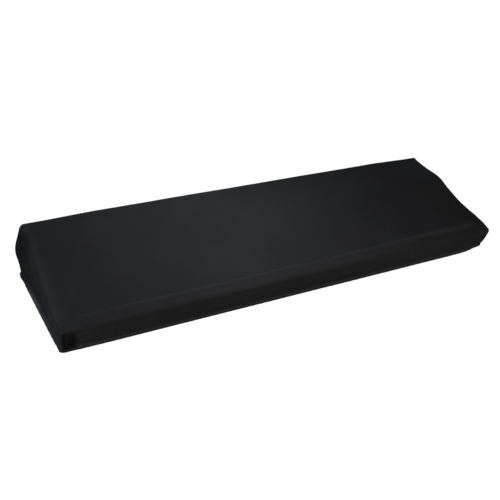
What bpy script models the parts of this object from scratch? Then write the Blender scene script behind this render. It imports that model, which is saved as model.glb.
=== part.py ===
"""A fitted stretch cover for an 88-key stage piano: four cloth panels sewn into a hood, open underneath.

Every size is measured from the left end, the front face and the hem: along, back and up. The part's origin
is the point under the top where the instrument bears, so place() moves each point there last.
"""

import math
from collections import namedtuple

import bmesh
import bpy
from mathutils import Vector

# Driving sizes, in metres.
LENGTH = 1.360  # left end to right end at the hem
DEPTH = 0.377  # front face to back face
FRONT_EDGE = 0.062  # where the front face would meet the sloping strip
FRONT_SEAM_BACK = 0.034  # the front seam lies this far behind the front face
BACK_EDGE = 0.1620  # where the top would meet the back face, at the ends
BACK_CROWN = 0.0035  # the back edge stands this much higher half-way along
CLOTH = 0.0020  # one layer of the cloth
HEM_CLOTH = 0.0030  # the turned-up hem
HEM_WIDTH = 0.014  # height of the turned-up hem
SEAM_GAP = 0.0003  # clear between two panels along their seam

# Softness of the hood.
FOLD_RADIUS = 0.012  # of the long front and back edges
CORNER_RADIUS = 0.010  # of the upright corners
HEM_ROLL = 0.0016  # the hem stands this proud of the face above it
FRONT_SWELL = 0.0025  # outward bow of the front face
BACK_SWELL = 0.0040  # outward bow of the back face
END_SWELL = 0.0075  # outward bow of the end faces at the back, less where they are lower
SWELL_FADE = 4  # higher keeps that bow nearer the middle of the face
LEAN_POWER = 3.4  # how late, going up, an end face leans in
END_SHAPE_START = 0.018  # from here in, the end outline fades into the middle one
END_SHAPE_REACH = 0.20  # over this length

# The end edges: their radius half-way from front to back, how far they sink there, and how much is added to
# the radius where an edge is at its softest.
EndEdge = namedtuple("EndEdge", "radius droop soft_radius")
END_EDGES = {
    "left": EndEdge(0.012, 0.0030, 0.010),
    "right": EndEdge(0.018, 0.0, 0.0),
}
SOFT_BACK = 0.078  # where the edge is softest
SOFT_SPREAD = 0.042
DROOP_LENGTH = 0.028  # the top beside the edge sinks with it, over about this length

# The instrument bears here, on the underside of the flat rear part of the top, half-way along.
BEARING_BACK = 0.305
BEARING_UP = 0.1470

# The top from the front seam to the back fold: its height at the left end, half-way along and at the right
# end, and how far the end edges stand in from the hem there.
Station = namedtuple("Station", "back left_up middle_up right_up left_inset right_inset")
TOP_STATIONS = (
    Station(0.034, 0.0745, 0.0745, 0.0745, 0.002, -0.005),
    Station(0.070, 0.0845, 0.0820, 0.0850, 0.004, -0.003),
    Station(0.105, 0.0920, 0.0905, 0.0940, 0.005, 0.000),
    Station(0.145, 0.1030, 0.1020, 0.1060, 0.005, 0.003),
    Station(0.190, 0.1200, 0.1165, 0.1235, 0.006, 0.006),
    Station(0.240, 0.1415, 0.1325, 0.1450, 0.007, 0.010),
    Station(0.305, 0.1520, 0.1490, 0.1505, 0.012, 0.014),
    Station(0.365, 0.1590, 0.1625, 0.1575, 0.018, 0.017),
)
TOP_ROWS_PER_STATION = 2

# Where the elastic in the hem draws each corner in, by how much, over what length and up to what height.
Draw = namedtuple("Draw", "end face amount spread height")
CORNER_DRAWS = (
    Draw("left", "front", 0.001, 0.030, 0.045),
    Draw("right", "front", 0.0185, 0.058, 0.055),
    Draw("left", "back", 0.001, 0.040, 0.050),
    Draw("right", "back", 0.012, 0.050, 0.060),
)
DRAW_FADE = 1.2  # how fast the pull dies away going up

# Puckers beside the upright corner seams: distance from the end, depth, half width and height.
Pucker = namedtuple("Pucker", "end face along depth half_width up")
PUCKERS = (
    Pucker("left", "front", 0.031, 0.0065, 0.011, 0.052),
    Pucker("left", "front", 0.070, 0.0015, 0.016, 0.040),
    Pucker("right", "front", 0.045, 0.0030, 0.015, 0.040),
    Pucker("left", "back", 0.036, 0.0035, 0.014, 0.070),
    Pucker("right", "back", 0.040, 0.0040, 0.016, 0.080),
)
PUCKER_FADE = 0.7  # below 1 keeps a pucker deep for most of its height

# Mesh steps.
FACE_UPS = (0.0, 0.005, HEM_WIDTH, 0.35, 0.60, 0.82, 1.0)  # three heights, then shares of the face above
FOLD_STEPS = 4
STRIP_STEPS = 2
CORNER_STEPS = 4
SPAN_OFFSETS = (
    0.006, 0.013, 0.020, 0.027, 0.035, 0.046, 0.060, 0.080,
    0.110, 0.145, 0.190, 0.245, 0.310, 0.385, 0.465, 0.550,
)
EDGE_SETTLES = 0.145  # past this offset the mesh's columns run straight
RIM_ANGLE = 50  # degrees; a panel's cut edges stay sharp

PanelSpec = namedtuple("PanelSpec", "name colour")
FRONT_BAND, TOP_AND_BACK, LEFT_END, RIGHT_END = range(4)
PANELS = (
    PanelSpec("front_band", (0.020, 0.020, 0.021, 1)),
    PanelSpec("top_back_panel", (0.022, 0.022, 0.024, 1)),
    PanelSpec("end_panel_left", (0.018, 0.018, 0.019, 1)),
    PanelSpec("end_panel_right", (0.018, 0.018, 0.019, 1)),
)

# One row of the hood's girth: its two ends' shapes, and the shape half-way along.
EndPoint = namedtuple("EndPoint", "up inset radius droop")
Row = namedtuple("Row", "back middle_up left right")


def smooth(share):
    """0 to 1 with level ends."""
    share = min(max(share, 0.0), 1.0)
    return share * share * (3 - 2 * share)


def bump(share):
    """0 at both ends of 0 to 1, 1 in the middle."""
    return math.sin(math.pi * min(max(share, 0.0), 1.0))


def station_at(back):
    """The top's station at any distance back, on a smooth curve through the table."""
    last = len(TOP_STATIONS) - 1
    i = next((n for n in range(last) if back <= TOP_STATIONS[n + 1].back), last - 1)
    four = [TOP_STATIONS[min(max(n, 0), last)] for n in (i - 1, i, i + 1, i + 2)]
    before, here, there, after = four
    share = (back - here.back) / (there.back - here.back)
    values = []
    for field in Station._fields:
        if field == "back":
            values.append(back)
            continue
        width = there.back - here.back
        leave = (getattr(there, field) - getattr(before, field)) / (there.back - before.back) * width
        arrive = (getattr(after, field) - getattr(here, field)) / (after.back - here.back) * width
        start, end = getattr(here, field), getattr(there, field)
        s2, s3 = share * share, share ** 3
        values.append(
            (2 * s3 - 3 * s2 + 1) * start + (s3 - 2 * s2 + share) * leave
            + (3 * s2 - 2 * s3) * end + (s3 - s2) * arrive
        )
    return Station(*values)


def hem_roll(up):
    """How far the rolled hem stands out at this height."""
    return HEM_ROLL * bump(up / HEM_WIDTH)


def end_inset(face_inset, up, full_height):
    """How far the end face stands in from the hem line at this height."""
    share = min(up / full_height, 1.0)
    swell = END_SWELL * (full_height / BACK_EDGE) ** 2
    return face_inset * share ** LEAN_POWER - swell * bump(share) ** SWELL_FADE - hem_roll(up)


def face_heights(full):
    """Heights of the rows on an upright face, hem first."""
    fixed = list(FACE_UPS[:3])
    return fixed + [HEM_WIDTH + (full - HEM_WIDTH) * share for share in FACE_UPS[3:]]


def fold_arc(corner, before, after):
    """Points of the arc that rounds a fold, with the directions of travel before and after it as angles."""
    turn = before - after
    reach = FOLD_RADIUS * math.tan(turn / 2)
    start = corner - reach * Vector((math.cos(before), math.sin(before)))
    centre = start + FOLD_RADIUS * Vector((math.sin(before), -math.cos(before)))
    points = []
    for step in range(FOLD_STEPS + 1):
        angle = before - turn * step / FOLD_STEPS
        points.append(centre + FOLD_RADIUS * Vector((-math.sin(angle), math.cos(angle))))
    return points


def end_shape(end, back, up, inset):
    """A row's shape at one end, with the edge's own radius and droop at this distance back."""
    edge, last_back = END_EDGES[end], TOP_STATIONS[-1].back
    along_ridge = bump((back - FRONT_SEAM_BACK) / (last_back - FRONT_SEAM_BACK))
    soft = math.exp(-(((back - SOFT_BACK) / SOFT_SPREAD) ** 2)) * smooth((back - FOLD_RADIUS) / 0.030)
    radius = CORNER_RADIUS + (edge.radius - CORNER_RADIUS) * along_ridge + edge.soft_radius * soft
    return EndPoint(up, inset, radius, edge.droop * along_ridge)


def girth_rows():
    """The rows of the hood from the front hem over to the back one, and the number of the front seam's."""
    seam, last = TOP_STATIONS[0], TOP_STATIONS[-1]
    strip_angle = math.atan2(seam.middle_up - FRONT_EDGE, FRONT_SEAM_BACK)
    front_arc = fold_arc(Vector((0.0, FRONT_EDGE)), math.pi / 2, strip_angle)
    top_angle = math.atan2(BACK_EDGE - last.left_up, DEPTH - last.back)
    back_arc = fold_arc(Vector((DEPTH, BACK_EDGE)), top_angle, -math.pi / 2)
    rows = []

    def add_level(back, up, station, full_height, crown=0.0):
        ends = [
            end_shape(end, back, up, end_inset(inset, up, full_height))
            for end, inset in (("left", station.left_inset), ("right", station.right_inset))
        ]
        rows.append(Row(back, up + crown * up / full_height, *ends))

    face_top = front_arc[0].y
    for up in face_heights(face_top)[:-1]:
        add_level(-FRONT_SWELL * bump(up / face_top) - hem_roll(up), up, seam, FRONT_EDGE)
    for point in front_arc:
        add_level(point.x, point.y, seam, FRONT_EDGE)
    for step in range(1, STRIP_STEPS):
        point = front_arc[-1].lerp(Vector((seam.back, seam.middle_up)), step / STRIP_STEPS)
        add_level(point.x, point.y, seam, FRONT_EDGE)
    front_seam = len(rows)
    for here, there in zip(TOP_STATIONS, TOP_STATIONS[1:]):
        for step in range(TOP_ROWS_PER_STATION):
            at = station_at(here.back + (there.back - here.back) * step / TOP_ROWS_PER_STATION)
            left = end_shape("left", at.back, at.left_up, at.left_inset)
            right = end_shape("right", at.back, at.right_up, at.right_inset)
            rows.append(Row(at.back, at.middle_up, left, right))
    for point in back_arc:
        add_level(point.x, point.y, last, BACK_EDGE, BACK_CROWN)
    face_top = back_arc[-1].y
    for up in reversed(face_heights(face_top)[:-1]):
        back = DEPTH + BACK_SWELL * bump(up / face_top) + hem_roll(up)
        add_level(back, up, last, BACK_EDGE, BACK_CROWN)
    return rows, front_seam


def outward(rows, k, end):
    """The row's outward direction at one end, back and up."""
    if k in (0, len(rows) - 1):
        return Vector((-1.0, 0.0)) if k == 0 else Vector((1.0, 0.0))
    before, after = rows[k - 1], rows[k + 1]
    travel = Vector((after.back - before.back, getattr(after, end).up - getattr(before, end).up))
    return Vector((-travel.y, travel.x)).normalized()


def end_point(rows, k, end, turn):
    """A point round one end's edge: turn is 90 degrees at the end face and 0 where the top begins."""
    shape, out = getattr(rows[k], end), outward(rows, k, end)
    inward = shape.radius * (1 - math.cos(turn))
    along = shape.inset + shape.radius * (1 - math.sin(turn))
    return along, rows[k].back - out.x * inward, shape.up - out.y * inward - shape.droop


def span_point(row, end, offset):
    """A point of the wrap at this offset past the end's edge, easing to the shape half-way along."""
    shape = getattr(row, end)
    settle = smooth(offset / EDGE_SETTLES)
    along = offset + (shape.inset + shape.radius) * (1 - settle) + CORNER_RADIUS * settle
    to_middle = smooth((along - END_SHAPE_START) / END_SHAPE_REACH)
    up = shape.up + (row.middle_up - shape.up) * to_middle
    return along, row.back, up - shape.droop * math.exp(-offset / DROOP_LENGTH)


def wrap_line(rows, k):
    """One row of the wrap, from the left end's seam to the right end's."""
    turns = [math.pi / 2 * (1 - step / CORNER_STEPS) for step in range(CORNER_STEPS + 1)]
    halves = []
    for end in ("left", "right"):
        round_edge = [end_point(rows, k, end, turn) for turn in turns]
        halves.append(round_edge + [span_point(rows[k], end, offset) for offset in SPAN_OFFSETS])
    left, right = halves
    middle = (LENGTH / 2, rows[k].back, rows[k].middle_up)
    return left + [middle] + [(LENGTH - along, back, up) for along, back, up in reversed(right)]


def draw_in(along, back, up):
    """Moves a point as the elastic pulls the hem's corners in and puckers the cloth beside them."""
    moved = Vector((along, back, up))
    for draw in CORNER_DRAWS:
        corner = Vector((0.0 if draw.end == "left" else LENGTH, 0.0 if draw.face == "front" else DEPTH))
        inward = Vector((1.0 if draw.end == "left" else -1.0, 1.0 if draw.face == "front" else -1.0))
        near = math.exp(-(((Vector((along, back)) - corner).length / draw.spread) ** 2))
        low = max(0.0, 1 - up / draw.height) ** DRAW_FADE
        moved.xy += inward.normalized() * draw.amount * near * low
    for pucker in PUCKERS:
        from_end = along if pucker.end == "left" else LENGTH - along
        face_back = 0.0 if pucker.face == "front" else DEPTH
        if abs(back - face_back) > FOLD_RADIUS or up > pucker.up:
            continue
        across = math.exp(-(((from_end - pucker.along) / pucker.half_width) ** 2))
        depth = pucker.depth * across * bump(up / pucker.up) ** PUCKER_FADE
        moved.y += depth if pucker.face == "front" else -depth
    return moved


def place(point):
    """From sizes off the left end, front and hem to the part's own frame."""
    return Vector((point.x - LENGTH / 2, point.y - BEARING_BACK, point.z - BEARING_UP))


def end_grid(bm, side, corner_rows):
    """The points of an end face, hem first, between side, the wrap's outermost points from hem to hem."""
    front, back = side[: corner_rows + 1], side[: -corner_rows - 2: -1]
    top = side[corner_rows: len(side) - corner_rows]
    shares = [(point.co.y - top[0].co.y) / (top[-1].co.y - top[0].co.y) for point in top]
    grid = []
    for i in range(corner_rows):
        line = [front[i]]
        rises = [(edge[i].co.z - edge[0].co.z) / (edge[-1].co.z - edge[0].co.z) for edge in (front, back)]
        for share, over in list(zip(shares, top))[1:-1]:
            rise = rises[0] + (rises[1] - rises[0]) * share
            hem = front[0].co.lerp(back[0].co, share)
            upright = hem.lerp(over.co, rise)
            level = front[i].co.lerp(back[i].co, share)
            flat = hem.lerp(top[0].co.lerp(top[-1].co, share), rise)
            line.append(bm.verts.new(upright + level - flat))
        grid.append(line + [back[i]])
    return grid + [top]


def build_sheet():
    """The whole outer face of the hood as one sheet, each face marked with its panel."""
    rows, front_seam = girth_rows()
    bm = bmesh.new()
    panel_of = bm.faces.layers.int.new("panel")
    wrap = []
    for k in range(len(rows)):
        wrap.append([bm.verts.new(place(draw_in(*point))) for point in wrap_line(rows, k)])

    def fill(grid, panel, flipped=False):
        for line, next_line in zip(grid, grid[1:]):
            for c in range(len(line) - 1):
                corners = (line[c], line[c + 1], next_line[c + 1], next_line[c])
                face = bm.faces.new(corners[::-1] if flipped else corners)
                face[panel_of] = panel
                face.smooth = True

    fill(wrap[: front_seam + 1], FRONT_BAND)
    fill(wrap[front_seam:], TOP_AND_BACK)
    corner_rows = len(FACE_UPS) - 1 + FOLD_STEPS // 2
    fill(end_grid(bm, [line[0] for line in wrap], corner_rows), LEFT_END, flipped=True)
    fill(end_grid(bm, [line[-1] for line in wrap], corner_rows), RIGHT_END)
    bm.normal_update()
    bm.verts.index_update()
    bm.faces.index_update()
    return bm, panel_of


def seam_shift(vert, faces, hem_up):
    """Where a seam runs through this point of a panel, the move that opens half the seam's gap."""
    pulls = []
    for edge in vert.link_edges:
        inside = [f for f in edge.link_faces if f in faces]
        at_hem = len(edge.link_faces) == 1
        if len(inside) != 1 or at_hem:
            continue
        along = (edge.verts[1].co - edge.verts[0].co).normalized()
        pull = inside[0].normal.cross(along)
        if pull.dot(inside[0].calc_center_median() - edge.verts[0].co) < 0:
            pull = -pull
        pulls.append(pull.normalized())
    if not pulls:
        return Vector((0, 0, 0))
    if len(pulls) == 1:
        shift = pulls[0]
    else:
        shift = (pulls[0] + pulls[1]) / (1 + pulls[0].dot(pulls[1]))
    if abs(vert.co.z - hem_up) < 1e-6:
        shift.z = 0.0
    return shift * SEAM_GAP / 2


def panel_solid(bm, panel_of, panel, hem_up):
    """One panel as a closed solid: its outer faces, the same faces a cloth's thickness in, and its rim."""
    faces = {f for f in bm.faces if f[panel_of] == panel}
    outer, inner = {}, {}
    solid = bmesh.new()
    for vert in sorted({v for f in faces for v in f.verts}, key=lambda v: v.index):
        at_hem = vert.co.z - hem_up < 1e-6
        normal = vert.normal.copy()
        if at_hem:
            normal.z = 0.0
            normal.normalize()
        in_hem = 1 - smooth((vert.co.z - hem_up - HEM_WIDTH * 0.5) / (HEM_WIDTH * 0.5))
        thick = CLOTH + (HEM_CLOTH - CLOTH) * in_hem
        at = vert.co + seam_shift(vert, faces, hem_up)
        outer[vert] = solid.verts.new(at)
        inner[vert] = solid.verts.new(at - normal * thick)
    for face in sorted(faces, key=lambda f: f.index):
        solid.faces.new([outer[v] for v in face.verts]).smooth = True
        solid.faces.new([inner[v] for v in reversed(face.verts)]).smooth = True
        for loop in face.loops:
            if sum(f in faces for f in loop.edge.link_faces) == 1:
                here, there = loop.vert, loop.link_loop_next.vert
                solid.faces.new((outer[there], outer[here], inner[here], inner[there]))
    mesh = bpy.data.meshes.new(PANELS[panel].name)
    solid.to_mesh(mesh)
    solid.free()
    mesh.set_sharp_from_angle(angle=math.radians(RIM_ANGLE))
    return mesh


def cloth_material(spec):
    """Matt black stretch cloth."""
    material = bpy.data.materials.new(spec.name)
    material.use_nodes = True
    shader = material.node_tree.nodes["Principled BSDF"]
    shader.inputs["Base Color"].default_value = spec.colour
    shader.inputs["Roughness"].default_value = 0.75
    shader.inputs["Metallic"].default_value = 0.0
    return material


def build():
    for obj in list(bpy.data.objects):
        bpy.data.objects.remove(obj)
    sheet, panel_of = build_sheet()
    cover = bpy.data.objects.new("cover", None)
    bpy.context.scene.collection.objects.link(cover)
    for panel, spec in enumerate(PANELS):
        mesh = panel_solid(sheet, panel_of, panel, -BEARING_UP)
        mesh.materials.append(cloth_material(spec))
        obj = bpy.data.objects.new(spec.name, mesh)
        obj.parent = cover
        bpy.context.scene.collection.objects.link(obj)
    sheet.free()


build()
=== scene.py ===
import math

import bpy
import numpy as np
from mathutils import Matrix, Vector, noise


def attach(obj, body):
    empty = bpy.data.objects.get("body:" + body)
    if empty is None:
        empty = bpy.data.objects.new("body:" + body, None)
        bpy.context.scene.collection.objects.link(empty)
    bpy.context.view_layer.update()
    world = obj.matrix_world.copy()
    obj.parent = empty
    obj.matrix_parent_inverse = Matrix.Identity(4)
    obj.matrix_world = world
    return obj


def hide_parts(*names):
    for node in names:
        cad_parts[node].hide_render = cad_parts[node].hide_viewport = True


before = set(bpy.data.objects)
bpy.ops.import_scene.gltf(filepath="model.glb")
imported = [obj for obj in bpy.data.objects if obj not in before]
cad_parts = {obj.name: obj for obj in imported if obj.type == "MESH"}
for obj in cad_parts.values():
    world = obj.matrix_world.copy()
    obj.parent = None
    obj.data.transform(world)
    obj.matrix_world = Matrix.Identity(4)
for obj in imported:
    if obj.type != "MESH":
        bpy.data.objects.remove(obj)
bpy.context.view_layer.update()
print("stage 1: the packed panels are in")

# Sizes of the hood in metres: along from the left end, back from the front face, up from the hem.
hood = {
    "length": 1.360,
    "depth": 0.377,
    "frontEdge": 0.062,  # where the front face would meet the sloping strip
    "seamBack": 0.034,  # the long front seam, behind the front face
    "backEdge": 0.1620,
    "backCrown": 0.0042,  # rise of the back edge half-way along
    "foldRadius": 0.012,  # long front and back edges
    "cornerRadius": 0.010,  # upright corners
    "ridgeRadii": (0.012, 0.018),  # left and right end edges, half-way from front to back
    "edgeDroops": (0.0030, 0.0),  # how far the top sinks towards those edges
    "droopLength": 0.028,
    "softPlace": 0.078,  # where the left edge is at its softest, back from the front
    "softSpread": 0.042,
    "softStart": 0.030,
    "softDroop": 0.0050,
    "softRadius": 0.010,
    "frontSwell": 0.0025,
    "backSwell": 0.0040,
    "endSwell": 0.0075,
    "swellFade": 4,
    "leanPower": 3.4,
    "endReach": 0.20,  # the end outline fades into the middle one over this length
    "edgeSettles": 0.145,
    "levelAtBack": (-0.022, 0.015),  # where an end edge turns as the middle does, from the last station
    "seamWander": 0.0070,
    "wanderGrows": (0.75, 0.45),  # from this place along, over this length
    "wanderEnds": (-0.060, 0.055),  # the same, from the right end
    "wanderSpread": 0.026,
    "wanderStart": 0.012,  # behind the front fold
    "wanderRise": 0.32,
    "standOut": 0.0068,  # of the left end's back corner
    "standOutFades": (0.05, 0.12),  # along
    "standOutSpread": 0.055,  # forwards
    "standOutGrows": (0.03, 0.14),  # upwards
    "bearing": (0.680, 0.305, 0.147),  # where the instrument carries it: the scene's origin
}

# The top, front seam to back fold: back, height at the left end, half-way and right end, end insets.
topStations = [
    (0.034, 0.0745, 0.0745, 0.0745, 0.002, -0.007),
    (0.070, 0.0845, 0.0820, 0.0850, 0.004, -0.004),
    (0.105, 0.0920, 0.0905, 0.0940, 0.005, 0.000),
    (0.145, 0.1030, 0.1020, 0.1060, 0.005, 0.003),
    (0.190, 0.1200, 0.1165, 0.1235, 0.006, 0.006),
    (0.240, 0.1415, 0.1325, 0.1450, 0.007, 0.010),
    (0.305, 0.1520, 0.1490, 0.1505, 0.012, 0.014),
    (0.365, 0.1590, 0.1632, 0.1575, 0.018, 0.017),
]

# Corners of the hem that its elastic draws in: end, face, amount, spread, height.
cornerDraws = [
    ("left", "front", 0.001, 0.030, 0.045),
    ("right", "front", 0.0185, 0.058, 0.055),
    ("left", "back", 0.001, 0.040, 0.050),
    ("right", "back", 0.012, 0.050, 0.060),
]

# Puckers beside the upright corners: end, face, distance from the end, depth, half width, height.
cornerPuckers = [
    ("left", "front", 0.031, 0.0065, 0.011, 0.052),
    ("left", "front", 0.070, 0.0015, 0.016, 0.040),
    ("right", "front", 0.045, 0.0030, 0.015, 0.040),
    ("left", "back", 0.036, 0.0035, 0.014, 0.070),
    ("right", "back", 0.040, 0.0040, 0.016, 0.080),
]

cloth = {
    "thickness": 0.0012,
    "hemThickness": 0.0026,  # folded double round the elastic
    "hemHeight": 0.014,
    "hemRoll": 0.0016,
    "allowanceDepth": 0.0065,  # seam edges turned inside
    "hemAllowance": 0.00135,
    "hemAllowanceTo": (0.0145, 0.008),  # they deepen from this height, over this height
    "turnDepth": 0.0008,
    "allowanceGap": 0.00005,  # half the gap between the two turned edges
    "besideSeam": 0.006,  # points this near show which way a panel lies from its seam
    "slideReach": 0.0006,  # the inner face slides clear of a seam this near, beyond its thickness
    "slideSlope": 0.15,
    "foldClear": 0.96,  # the inner face's start, as a share of the hem's fold
    "foldTurn": (0.00003, 0.00004),  # and its move with each step round the fold
    "hemClear": 0.0001,
    "faceRows": 20,  # mesh rows on each upright face above the hem
    "foldSteps": 10,
    "cornerSteps": 14,
    "rowStep": 0.0042,
    "columnStep": 0.0030,
    "columnGrowth": 1.040,
    "widestColumn": 0.0076,
}
hemUps = [0.0, 0.0004, 0.0010, 0.0019, 0.0032, 0.0046, 0.0061, 0.0076, 0.0091, 0.0105, 0.0118, 0.0130]
waistUps = [0.0142, 0.0158, 0.0178, 0.0202, 0.0230]  # rows close together just above the hem
seamOffsets = [0.0008, 0.0020, 0.0035, 0.0050, 0.0065, 0.0078, 0.0092, 0.0110]  # rows beside the front seam

frontBand, topBack, leftEnd, rightEnd = range(4)
panelNames = ["front_band", "top_back_panel", "end_panel_left", "end_panel_right"]


def ease(share):
    share = np.clip(share, 0.0, 1.0)
    return share * share * (3 - 2 * share)


def ramp(at, start, length):  # 0 up to the start, 1 beyond the length
    return ease((at - start) / length)


def swell(share):  # 0 at both ends of 0 to 1, 1 in the middle
    return np.sin(np.pi * np.clip(share, 0.0, 1.0))


def hill(at, place, width):  # 1 at the place, fading away on both sides
    return np.exp(-(((at - place) / width) ** 2))


def unit(vectors):
    return vectors / np.maximum(np.linalg.norm(vectors, axis=1), 1e-12)[:, None]


def wayAlong(line):  # how far each point of a line is from its first
    return np.concatenate([[0], np.cumsum(np.linalg.norm(np.diff(line, axis=0), axis=1))])


def curveThrough(xs, ys, x):  # a smooth curve through the points of a table
    slopes = np.empty(len(xs))
    slopes[1:-1] = (ys[2:] - ys[:-2]) / (xs[2:] - xs[:-2])
    slopes[0] = (ys[1] - ys[0]) / (xs[1] - xs[0])
    slopes[-1] = (ys[-1] - ys[-2]) / (xs[-1] - xs[-2])
    i = np.clip(np.searchsorted(xs, x, side="right") - 1, 0, len(xs) - 2)
    width = xs[i + 1] - xs[i]
    t = (x - xs[i]) / width
    start = (2 * t**3 - 3 * t**2 + 1) * ys[i] + (t**3 - 2 * t**2 + t) * slopes[i] * width
    return start + (3 * t**2 - 2 * t**3) * ys[i + 1] + (t**3 - t**2) * slopes[i + 1] * width


def endInset(faceInset, up, height):
    share = np.minimum(up / height, 1.0)
    bow = hood["endSwell"] * (height / hood["backEdge"]) ** 2 * swell(share) ** hood["swellFade"]
    return faceInset * share ** hood["leanPower"] - bow - hemRoll(up)


def hemRoll(up):
    return cloth["hemRoll"] * swell(up / cloth["hemHeight"])


def foldArc(corner, before, after):  # the rounded fold, with the directions of travel as angles
    radius, turn = hood["foldRadius"], before - after
    start = np.array(corner) - radius * math.tan(turn / 2) * np.array([math.cos(before), math.sin(before)])
    centre = start + radius * np.array([math.sin(before), -math.cos(before)])
    angles = before - turn * np.linspace(0, 1, cloth["foldSteps"] + 1)
    return centre + radius * np.stack([-np.sin(angles), np.cos(angles)], 1)


def faceUps(height):
    low = hemUps + waistUps
    shares = np.linspace(0, 1, cloth["faceRows"] + 1)[1:-1]
    return np.array(low + list(low[-1] + (height - low[-1]) * shares))


def girthRows():  # columns: back, up at the left, half-way and right, left inset, right inset
    stations = np.array(topStations)
    seam, last = stations[0], stations[-1]
    stripAngle = math.atan2(seam[2] - hood["frontEdge"], hood["seamBack"])
    topAngle = math.atan2(hood["backEdge"] - last[1], hood["depth"] - last[0])
    frontArc = foldArc((0.0, hood["frontEdge"]), math.pi / 2, stripAngle)
    backArc = foldArc((hood["depth"], hood["backEdge"]), topAngle, -math.pi / 2)

    def level(back, up, station, height, crown=0.0):
        insets = [endInset(inset, up, height) for inset in station[4:]]
        return np.stack([back, up, up * (1 + crown / height), up, *insets], 1)

    top = frontArc[0, 1]
    up = faceUps(top)
    front = level(-hood["frontSwell"] * swell(up / top) - hemRoll(up), up, seam, hood["frontEdge"])
    arc = level(frontArc[:, 0], frontArc[:, 1], seam, hood["frontEdge"])
    toSeam = hood["seamBack"] - frontArc[-1, 0]
    shares = 1 - np.array([s for s in seamOffsets if s < toSeam][::-1]) / toSeam
    shares = np.concatenate([np.linspace(0, shares[0], 4)[1:-1], shares])
    strip = frontArc[-1] + (np.array([hood["seamBack"], seam[2]]) - frontArc[-1]) * shares[:, None]
    strip = level(strip[:, 0], strip[:, 1], seam, hood["frontEdge"])

    plain = seam[0] + seamOffsets[-1]
    count = round((last[0] - plain) / cloth["rowStep"])
    beyond = np.linspace(plain, last[0], count)[1:-1]
    back = np.concatenate([[seam[0]], seam[0] + np.array(seamOffsets), beyond])
    rise = np.stack([back] + [curveThrough(stations[:, 0], stations[:, c], back) for c in range(1, 6)], 1)

    backTop = level(backArc[:, 0], backArc[:, 1], last, hood["backEdge"], hood["backCrown"])
    top = backArc[-1, 1]
    up = faceUps(top)[::-1]
    behind = hood["depth"] + hood["backSwell"] * swell(up / top) + hemRoll(up)
    behind = level(behind, up, last, hood["backEdge"], hood["backCrown"])
    rows = np.concatenate([front, arc, strip, rise, backTop, behind])
    return rows, len(front) + len(arc) + len(strip)


def columnOffsets(reach):  # steps that widen away from the end
    offsets, step = [], cloth["columnStep"]
    at = step
    while at < reach - step * 0.7:
        offsets.append(at)
        step = min(step * cloth["columnGrowth"], cloth["widestColumn"])
        at += step
    return np.array(offsets)


def wrapPoints(rows):  # the wrap from hem to hem, every row from the left end's seam to the right end's
    seamBack, lastBack = topStations[0][0], topStations[-1][0]
    alongRidge = swell((rows[:, 0] - seamBack) / (lastBack - seamBack))
    turns = math.pi / 2 * (1 - np.linspace(0, 1, cloth["cornerSteps"] + 1))
    halves = []
    soft = hill(rows[:, 0], hood["softPlace"], hood["softSpread"])
    soft *= ramp(rows[:, 0], hood["foldRadius"], hood["softStart"])
    toBackFold = ramp(rows[:, 0] - lastBack, *hood["levelAtBack"])
    sides = zip((1, 3), (4, 5), hood["ridgeRadii"], hood["edgeDroops"], (soft, soft * 0))
    for upColumn, insetColumn, ridge, fall, softly in sides:
        radius = hood["cornerRadius"] + (ridge - hood["cornerRadius"]) * alongRidge
        radius += hood["softRadius"] * softly
        travel = np.zeros((len(rows), 2))
        travel[1:-1, 0] = rows[2:, 0] - rows[:-2, 0]
        rising = rows[:, upColumn] * (1 - toBackFold) + rows[:, 2] * toBackFold
        travel[1:-1, 1] = rising[2:] - rising[:-2]
        travel[0], travel[-1] = (0, 1), (0, -1)
        travel = unit(travel)
        inward = radius[:, None] * (1 - np.cos(turns))
        edge = rows[:, insetColumn, None] + radius[:, None] * (1 - np.sin(turns))
        edgeBack = rows[:, 0, None] + travel[:, 1, None] * inward
        edgeUp = rows[:, upColumn, None] - travel[:, 0, None] * inward
        offsets = columnOffsets(hood["length"] / 2 - hood["cornerRadius"])
        settle = ease(offsets / hood["edgeSettles"])
        span = offsets + (rows[:, insetColumn] + radius)[:, None] * (1 - settle)
        span += hood["cornerRadius"] * settle
        toMiddle = ramp(span, hood["ridgeRadii"][1], hood["endReach"])
        spanUp = rows[:, upColumn, None] * (1 - toMiddle) + rows[:, 2, None] * toMiddle
        droop = (fall * alongRidge + hood["softDroop"] * softly)[:, None]
        edgeUp -= droop
        spanUp -= droop * np.exp(-offsets / hood["droopLength"])
        spanBack = np.repeat(rows[:, :1], len(offsets), axis=1)
        half = [np.concatenate(pair, 1) for pair in ((edge, span), (edgeBack, spanBack), (edgeUp, spanUp))]
        halves.append(np.stack(half, 2))
    left, right = halves
    right[:, :, 0] = hood["length"] - right[:, :, 0]
    middle = np.stack([np.full(len(rows), hood["length"] / 2), rows[:, 0], rows[:, 2]], 1)[:, None]
    return np.concatenate([left, middle, right[:, ::-1]], 1)


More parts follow.
